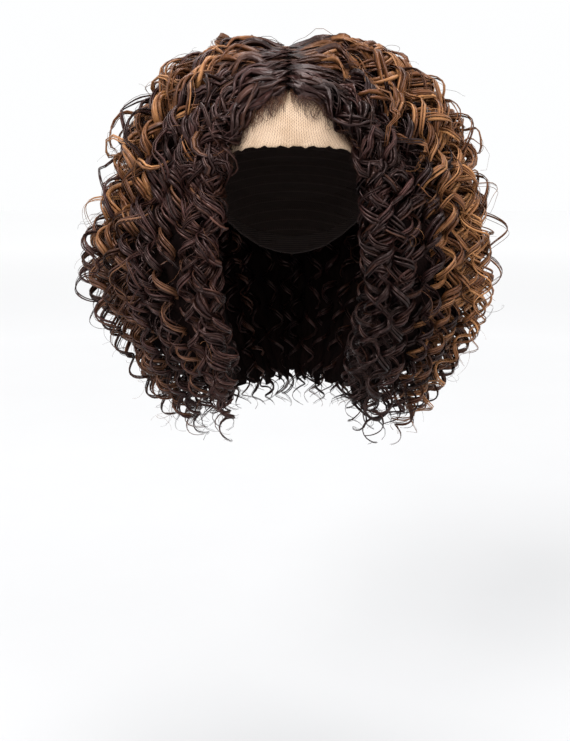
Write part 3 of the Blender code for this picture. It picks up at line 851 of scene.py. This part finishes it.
def fineHalf(rng, sizes, taper):
    return sizes["half"] * rng.uniform(*sizes["halfShare"]) * mixed(1.0, sizes["tipShare"], taper)


def fineHair(path, frames, half, light, shade):
    t = np.linspace(0.0, 1.0, len(path))
    tints = np.stack((np.broadcast_to(light, t.shape), np.full_like(t, shade), t), -1)
    return dict(places=path, first=frames[0], second=frames[1], half=half, tints=tints)


# Root hair: strands that leave the lace at the hairline and the parting and rise into the locks
rootHair = dict(
    hairline=140, parting=100, samples=18, reach=(0.6, 1.0), lowest=0.85, across=(-0.03, 0.02),
    inwards=(0.04, 0.16), falls=(0.05, 0.13), partAcross=(-0.02, 0.95), partDrift=0.02,
    partStart=(0.0, 0.006), partFalls=(0.12, 0.24), depth=(0.55, 1.02), rootDepth=0.12, sunk=0.04,
    drift=0.0022, half=0.00045, halfShare=(0.7, 1.3), tipShare=0.4, shade=0.5, shadeSpread=0.2,
    lightChance=0.15, light=0.35,
)


def rootStrand(rng, sign, kind):
    t = np.linspace(0.0, 1.0, rootHair["samples"])
    reach = rng.uniform(*rootHair["reach"])
    if kind == "hairline":
        start = rng.random() ** 0.8 * hair["dome"] * rootHair["lowest"]
        across = rng.uniform(*rootHair["across"]) + rng.uniform(*rootHair["inwards"]) * reach * t**1.3
        down = start + rng.uniform(*rootHair["falls"]) * reach * t
    else:
        across = np.full_like(t, rng.uniform(*rootHair["partAcross"]))
        across = across + rootHair["partDrift"] * slowNoise(rng, len(t), 1.0) * t
        down = rng.uniform(*rootHair["partStart"]) + rng.uniform(*rootHair["partFalls"]) * reach * t
    rise = eased(rootHair["rootDepth"] + (1.0 - rootHair["rootDepth"]) * t)
    depth = rng.uniform(*rootHair["depth"]) * rise - rootHair["sunk"] * (1.0 - t)
    depth = depth * heightKept(sign, across, down)
    path, outward = hairPlace(sign, across, down, depth)
    first, second = tubeFrame(path, outward)
    path = path + second * (rootHair["drift"] * t * slowNoise(rng, len(t), 2.0))[:, None]
    path = path + first * (rootHair["drift"] * t * slowNoise(rng, len(t), 2.0))[:, None]
    half = fineHalf(rng, rootHair, t**3) * eased(0.3 + t * 8.0)
    shade = np.clip(rootHair["shade"] + rootHair["shadeSpread"] * rng.normal(), 0.05, 0.95)
    light = (0.0, rootHair["light"])[rng.random() < rootHair["lightChance"]] * t
    return fineHair(path, (first, second), half, light, shade)


# Baby hair: short fine hairs that lie on the lace in front of the hairline
babyHair = dict(
    count=400, samples=8, lowest=0.85, ahead=(0.10, 0.05), aheadOver=0.34, curve=(0.4, 1.1),
    across=(-0.012, 0.012), falls=(-0.02, 0.10), rootDepth=0.01, lift=0.10, half=0.00021,
    halfShare=(0.6, 1.3), tipShare=0.4, shade=(0.25, 0.6), light=(0.05, 0.4),
)


def babyStrand(rng, sign):
    t = np.linspace(0.0, 1.0, babyHair["samples"])
    start = rng.random() * hair["dome"] * babyHair["lowest"]
    ahead = rng.random() ** 1.5 * mixed(*babyHair["ahead"], eased(start / babyHair["aheadOver"]))
    curve = rng.uniform(*babyHair["curve"]) * math.pi
    across = rng.uniform(*babyHair["across"]) - ahead * np.sin(curve * t)
    down = start + rng.uniform(*babyHair["falls"]) * t
    depth = babyHair["rootDepth"] + babyHair["lift"] * t * rng.random()
    path = hairPoint(sign, across, np.maximum(down, 0.0), depth)
    outward = hairPoint(sign, across, np.maximum(down, 0.0), 1.0) - path
    half = fineHalf(rng, babyHair, t)
    shade = rng.uniform(*babyHair["shade"])
    light = rng.uniform(*babyHair["light"])
    return fineHair(path, tubeFrame(path, outward), half, light, shade)


for side, sign in sides:
    strands = [rootStrand(rng, sign, "hairline") for _ in range(rootHair["hairline"])]
    strands += [rootStrand(rng, sign, "parting") for _ in range(rootHair["parting"])]
    strands += [babyStrand(rng, sign) for _ in range(babyHair["count"])]
    finishHair(strandMesh("rootHair" + side.title(), strands), curlHair, [])


# Flyaways: single fine hairs that leave the outline in open loops
flyaway = dict(
    count=100, samples=26, past=0.012, across=(0.04, 1.0), down=(0.12, 0.97), depth=0.86,
    fallStep=0.02, radius=(0.003, 0.0075), turns=(0.5, 1.6), swing=(-0.6, 0.6), out=(0.2, 0.9),
    falls=(0.0, 1.2), length=(0.010, 0.026), flatter=0.9, drift=0.004, half=0.00016,
    halfShare=(0.7, 1.3), tipShare=0.45, lightChance=0.3, light=0.7, shade=(0.2, 0.8),
)


def flyawayStrand(rng, sign):
    across, down = rng.uniform(*flyaway["across"]), rng.uniform(*flyaway["down"])
    here, below = np.array([across]), np.array([down])
    start = hairPoint(sign, here, below, flyaway["depth"] * heightKept(sign, here, below))[0]
    outward = unit(hairPoint(sign, here, below, np.array([1.0]))[0] - start)
    lower = hairPoint(sign, here, below + flyaway["fallStep"], np.array([flyaway["depth"]]))[0]
    fall = unit(lower - start)
    beside = np.cross(fall, outward)
    t = np.linspace(0.0, 1.0, flyaway["samples"])
    radius = rng.uniform(*flyaway["radius"])
    turn = rng.choice((-1.0, 1.0)) * math.tau * rng.uniform(*flyaway["turns"]) * t
    turn = turn + rng.uniform(0, math.tau)
    swing = rng.uniform(*flyaway["swing"])
    loop = np.stack((np.cos(turn) - np.cos(turn[0]), np.sin(turn) - np.sin(turn[0])), -1) * radius
    way = outward * rng.uniform(*flyaway["out"]) + fall * rng.uniform(*flyaway["falls"])
    way = unit(way + beside * swing)
    path = start + way * (t * rng.uniform(*flyaway["length"]))[:, None]
    path = path + outward * loop[:, :1] + fall * loop[:, 1:] * flyaway["flatter"]
    path = path + beside * (flyaway["drift"] * t * slowNoise(rng, len(t), 1.0))[:, None]
    half = fineHalf(rng, flyaway, t)
    light = (0.0, flyaway["light"])[rng.random() < flyaway["lightChance"]]
    shade = rng.uniform(*flyaway["shade"])
    return fineHair(path, tubeFrame(path, beside), half, light, shade)


def nearHair(places):
    low, high = np.array(cadBox[0]), np.array(cadBox[1])
    return np.all(places > low - flyaway["past"]) and np.all(places < high + flyaway["past"])


for side, sign in sides:
    strands = [flyawayStrand(rng, sign) for _ in range(flyaway["count"])]
    strands = [strand for strand in strands if nearHair(strand["places"])]
    finishHair(strandMesh("flyaways" + side.title(), strands), curlHair, [])


# Lace: a sheer net from ear to ear over the front of the head, trimmed a little unevenly
lace = dict(
    columns=84, rows=44, wall=0.0005, reach=94.0,
    fold=0.0005, foldOver=0.4, trim=0.0012, trimDown=(0.9, 0.1),
    mapSize=(0.125, 0.13), cell=0.0011, cellTurns=(0.0, math.pi / 3, 2 * math.pi / 3),
    unevenScale=60.0, uneven=0.6, open=0.15, closed=-0.55, openAlpha=0.10,
    tones=((0.3, (0.42, 0.29, 0.19)), (0.7, (0.56, 0.41, 0.29))),
    roughness=0.75, bump=0.0001, bumpStrength=0.5,
)


def onSkull(way, outward):
    way = unit(way)
    length = np.where(way[..., 1] < 0, head["front"], head["back"])
    height = np.where(way[..., 2] > 0, head["crown"], head["skull"])
    x = (head["halfWidth"] + outward) * way[..., 0]
    return np.stack((x, (length + outward) * way[..., 1], (height + outward) * way[..., 2]), -1)


def laceMesh():
    across, forward = np.meshgrid(
        np.linspace(-1.0, 1.0, lace["columns"] + 1), np.linspace(0.0, 1.0, lace["rows"] + 1)
    )
    seam = head["seamY"] / head["back"]
    over = np.radians(rimPolar(np.array((lace["reach"],)))[0] * across)
    back = np.stack((np.sin(over) * math.cos(seam), np.full_like(over, seam), np.cos(over)), -1)
    azimuth = across * lace["reach"]
    turn, fall = np.radians(azimuth), np.radians(rimPolar(azimuth))
    rim = np.stack((np.sin(fall) * np.sin(turn), -np.sin(fall) * np.cos(turn), np.cos(fall)), -1)
    way = back + (rim - back) * forward[..., None]
    # small folds, and an edge that was trimmed by hand
    fold = np.sin(across * 21.0 + forward * 9.0) * np.sin(across * 8.0 - forward * 5.0 + 1.0)
    places = onSkull(way, fold * lace["fold"] * eased(forward / lace["foldOver"]))
    trim = lace["trim"] * (np.sin(across * 67.0) + 0.7 * np.sin(across * 151.0 + 1.0)) / 1.7
    places[..., 2] += trim * ramp(forward, *lace["trimDown"])
    flat = places.reshape(-1, 3)
    quads = gridQuads(np.arange(len(flat)).reshape(across.shape))
    width, length = lace["mapSize"]
    spot = np.stack((across * width, forward * length), -1).reshape(-1, 2)
    spots, tints = spot[quads.ravel()], np.zeros((len(flat), 3))
    return joinedMesh("laceNet", [flat], [quads.ravel()], [4] * len(quads), [tints], [spots])


def laceMaterial():
    finish = Finish("laceNet", Roughness=lace["roughness"])
    x, y = finish.parts(finish.strandMap())[:2]
    step = math.tau / lace["cell"]
    waves = [
        finish.wave("COSINE", x * (step * math.cos(turn)) + y * (step * math.sin(turn)))
        for turn in lace["cellTurns"]
    ]
    cell = waves[0] + waves[1] + waves[2]
    uneven = finish.noise(finish.place(), lace["unevenScale"], 2.0)
    span = {
        "Value": cell + (uneven - 0.5) * lace["uneven"],
        "From Min": lace["closed"], "From Max": lace["open"],
        "To Min": 1.0, "To Max": lace["openAlpha"],
    }
    thread = finish.add("ShaderNodeMapRange", {}, span)
    return finish.dressFrom(lace, uneven, thread, Alpha=thread)


laceNet = laceMesh()
laceNet.data.materials.append(laceMaterial())
wall = laceNet.modifiers.new("wall", "SOLIDIFY")
wall.thickness = lace["wall"]
wall.offset = 1.0
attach(laceNet, "root")
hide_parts("lace_front")
print("wig: lace made")


# Cap: rows of wefts stitched round the stretch net, and ribbed elastic
cap = dict(
    weftStep=0.0075, weftLean=0.0022, leanScale=14.0, weftTilt=0.25, weft=(0.35, 0.8),
    stitchStep=0.0022, stitchRound=0.09, stitchCentre=0.02, stitch=0.2, netCell=0.0016, net=0.12,
    tones=((0.0, (0.020, 0.013, 0.011)), (0.5, (0.040, 0.027, 0.023)), (1.0, (0.012, 0.007, 0.006))),
    roughness=0.85, sheen=0.2, bump=0.0007, bumpStrength=0.8,
)
elastic = dict(
    rib=0.0016, ribHeight=0.5, threads=(900.0, 900.0, 300.0), threadHeight=0.4,
    tones=((0.0, (0.016, 0.010, 0.009)), (1.0, (0.060, 0.042, 0.036))),
    roughness=0.7, sheen=0.3, bump=0.0004, bumpStrength=0.7,
)


def capMaterial():
    finish = Finish("capNet", Roughness=cap["roughness"], Specular_IOR_Level=cap["sheen"])
    place = finish.place()
    x, y, z = finish.parts(place)
    lean = finish.noise(place, cap["leanScale"], 1.0) * cap["weftLean"]
    weft = finish.wave("COSINE", (z + lean - y * cap["weftTilt"]) * (math.tau / cap["weftStep"]))
    low, high = cap["weft"]
    span = {"Value": weft, "From Min": low, "From Max": high}
    band = finish.add("ShaderNodeMapRange", {"interpolation_type": "SMOOTHSTEP"}, span)
    around = finish.wave("ARCTANGENT", x / (y - cap["stitchCentre"])) * cap["stitchRound"]
    stitch = finish.wave("COSINE", around * (math.tau / cap["stitchStep"]))
    net = finish.wave("COSINE", (x + z) * (math.tau / cap["netCell"]))
    net = net + finish.wave("COSINE", (x - z) * (math.tau / cap["netCell"]))
    sewn = band * (stitch * cap["stitch"] + (1.0 - cap["stitch"]))
    height = sewn + (1.0 - band) * net * cap["net"]
    return finish.dressFrom(cap, height, height)


def bandMaterial():
    finish = Finish("elasticBand", Roughness=elastic["roughness"], Specular_IOR_Level=elastic["sheen"])
    place = finish.place()
    z = finish.parts(place)[2]
    rib = finish.wave("COSINE", z * (math.tau / elastic["rib"]))
    thread = finish.noise(finish.stretched(place, elastic["threads"]), 1.0, 2.0)
    # painted shade and thread colour: the elastic is darker in the grooves of its ribs, where shade falls,
    # and its tone varies with its threads
    height = rib * elastic["ribHeight"] + thread * elastic["threadHeight"]
    return finish.dressFrom(elastic, height, height)


bandFinish = bandMaterial()
for node, material in (
    ("crown_cap", capMaterial()),
    ("ear_tab_left", bandFinish),
    ("ear_tab_right", bandFinish),
    ("nape_band", bandFinish),
):
    solid = bpy.data.objects[node]
    solid.data.materials.clear()
    solid.data.materials.append(material)
print("wig: cap finished")

# Camera, floor and light
bpy.context.scene.view_settings.view_transform = "Standard"
view = dict(place=(-0.002, -0.80, 0.012), aim=(-0.006, 0.0, -0.166), height=0.615, sensor=24.0)
stand = dict(floorZ=-0.62, floorSize=14.0, floorY=3.0, floorReach=8.0, roughness=0.9)
stand.update(grainScale=3.0, grain=0.02)
# painted shade: the floor is darker near the middle, below the wig where the lamps light it most, and
# paler further out, so that it looks evenly pale
stand["floorTones"] = (
    (0.0, (0.38, 0.38, 0.385)),
    (0.156, (0.58, 0.58, 0.585)),
    (0.34, (0.80, 0.80, 0.805)),
    (0.75, (0.98, 0.98, 0.98)),
)


def aimed(made, target):
    way = Vector(target) - made.location
    made.rotation_euler = way.to_track_quat("-Z", "Y").to_euler()


bpy.ops.object.camera_add(location=view["place"])
camera = bpy.context.object
aimed(camera, view["aim"])
camera.data.sensor_fit = "VERTICAL"
camera.data.sensor_height = view["sensor"]
reach = math.dist(view["place"], view["aim"])
camera.data.lens = view["sensor"] * reach / view["height"]
bpy.context.scene.camera = camera

floorPlace = (0.0, stand["floorY"], stand["floorZ"])
bpy.ops.mesh.primitive_plane_add(size=stand["floorSize"], location=floorPlace)
floor = bpy.context.object
floor.name = "floor"
paleFloor = Finish("paleFloor", Roughness=stand["roughness"])
spot = paleFloor.stretched(paleFloor.place(), (1.0, 1.0, 1.0))
spot.socket.node.inputs["Location"].default_value = (0.0, stand["floorY"], 0.0)
away = paleFloor.add("ShaderNodeVectorMath", {"operation": "LENGTH"}, {0: spot}, 1)
grain = paleFloor.noise(spot, stand["grainScale"])
away = away / stand["floorReach"] + (grain - 0.5) * stand["grain"]
floor.data.materials.append(paleFloor.dress(Base_Color=paleFloor.toned(stand["floorTones"], away)))

sky = dict(colour=(0.99, 0.995, 1.0, 1.0), strength=1.0)
world = bpy.data.worlds.new("studio")
world.use_nodes = True
background = world.node_tree.nodes["Background"]
background.inputs["Color"].default_value = sky["colour"]
background.inputs["Strength"].default_value = sky["strength"]
bpy.context.scene.world = world
lampAim = (0.0, 0.0, -0.05)
lamps = (
    ("key", (-0.9, -1.4, 1.2), 0.9, 52.0),
    ("fill", (1.2, -1.2, 0.7), 1.0, 20.0),
    ("top", (0.1, 0.2, 1.7), 1.0, 30.0),
)
for name, place, size, power in lamps:
    bpy.ops.object.light_add(type="AREA", location=place)
    lamp = bpy.context.object
    lamp.name = name
    lamp.data.size = size
    lamp.data.energy = power
    aimed(lamp, lampAim)
print("wig: camera, floor and light placed")
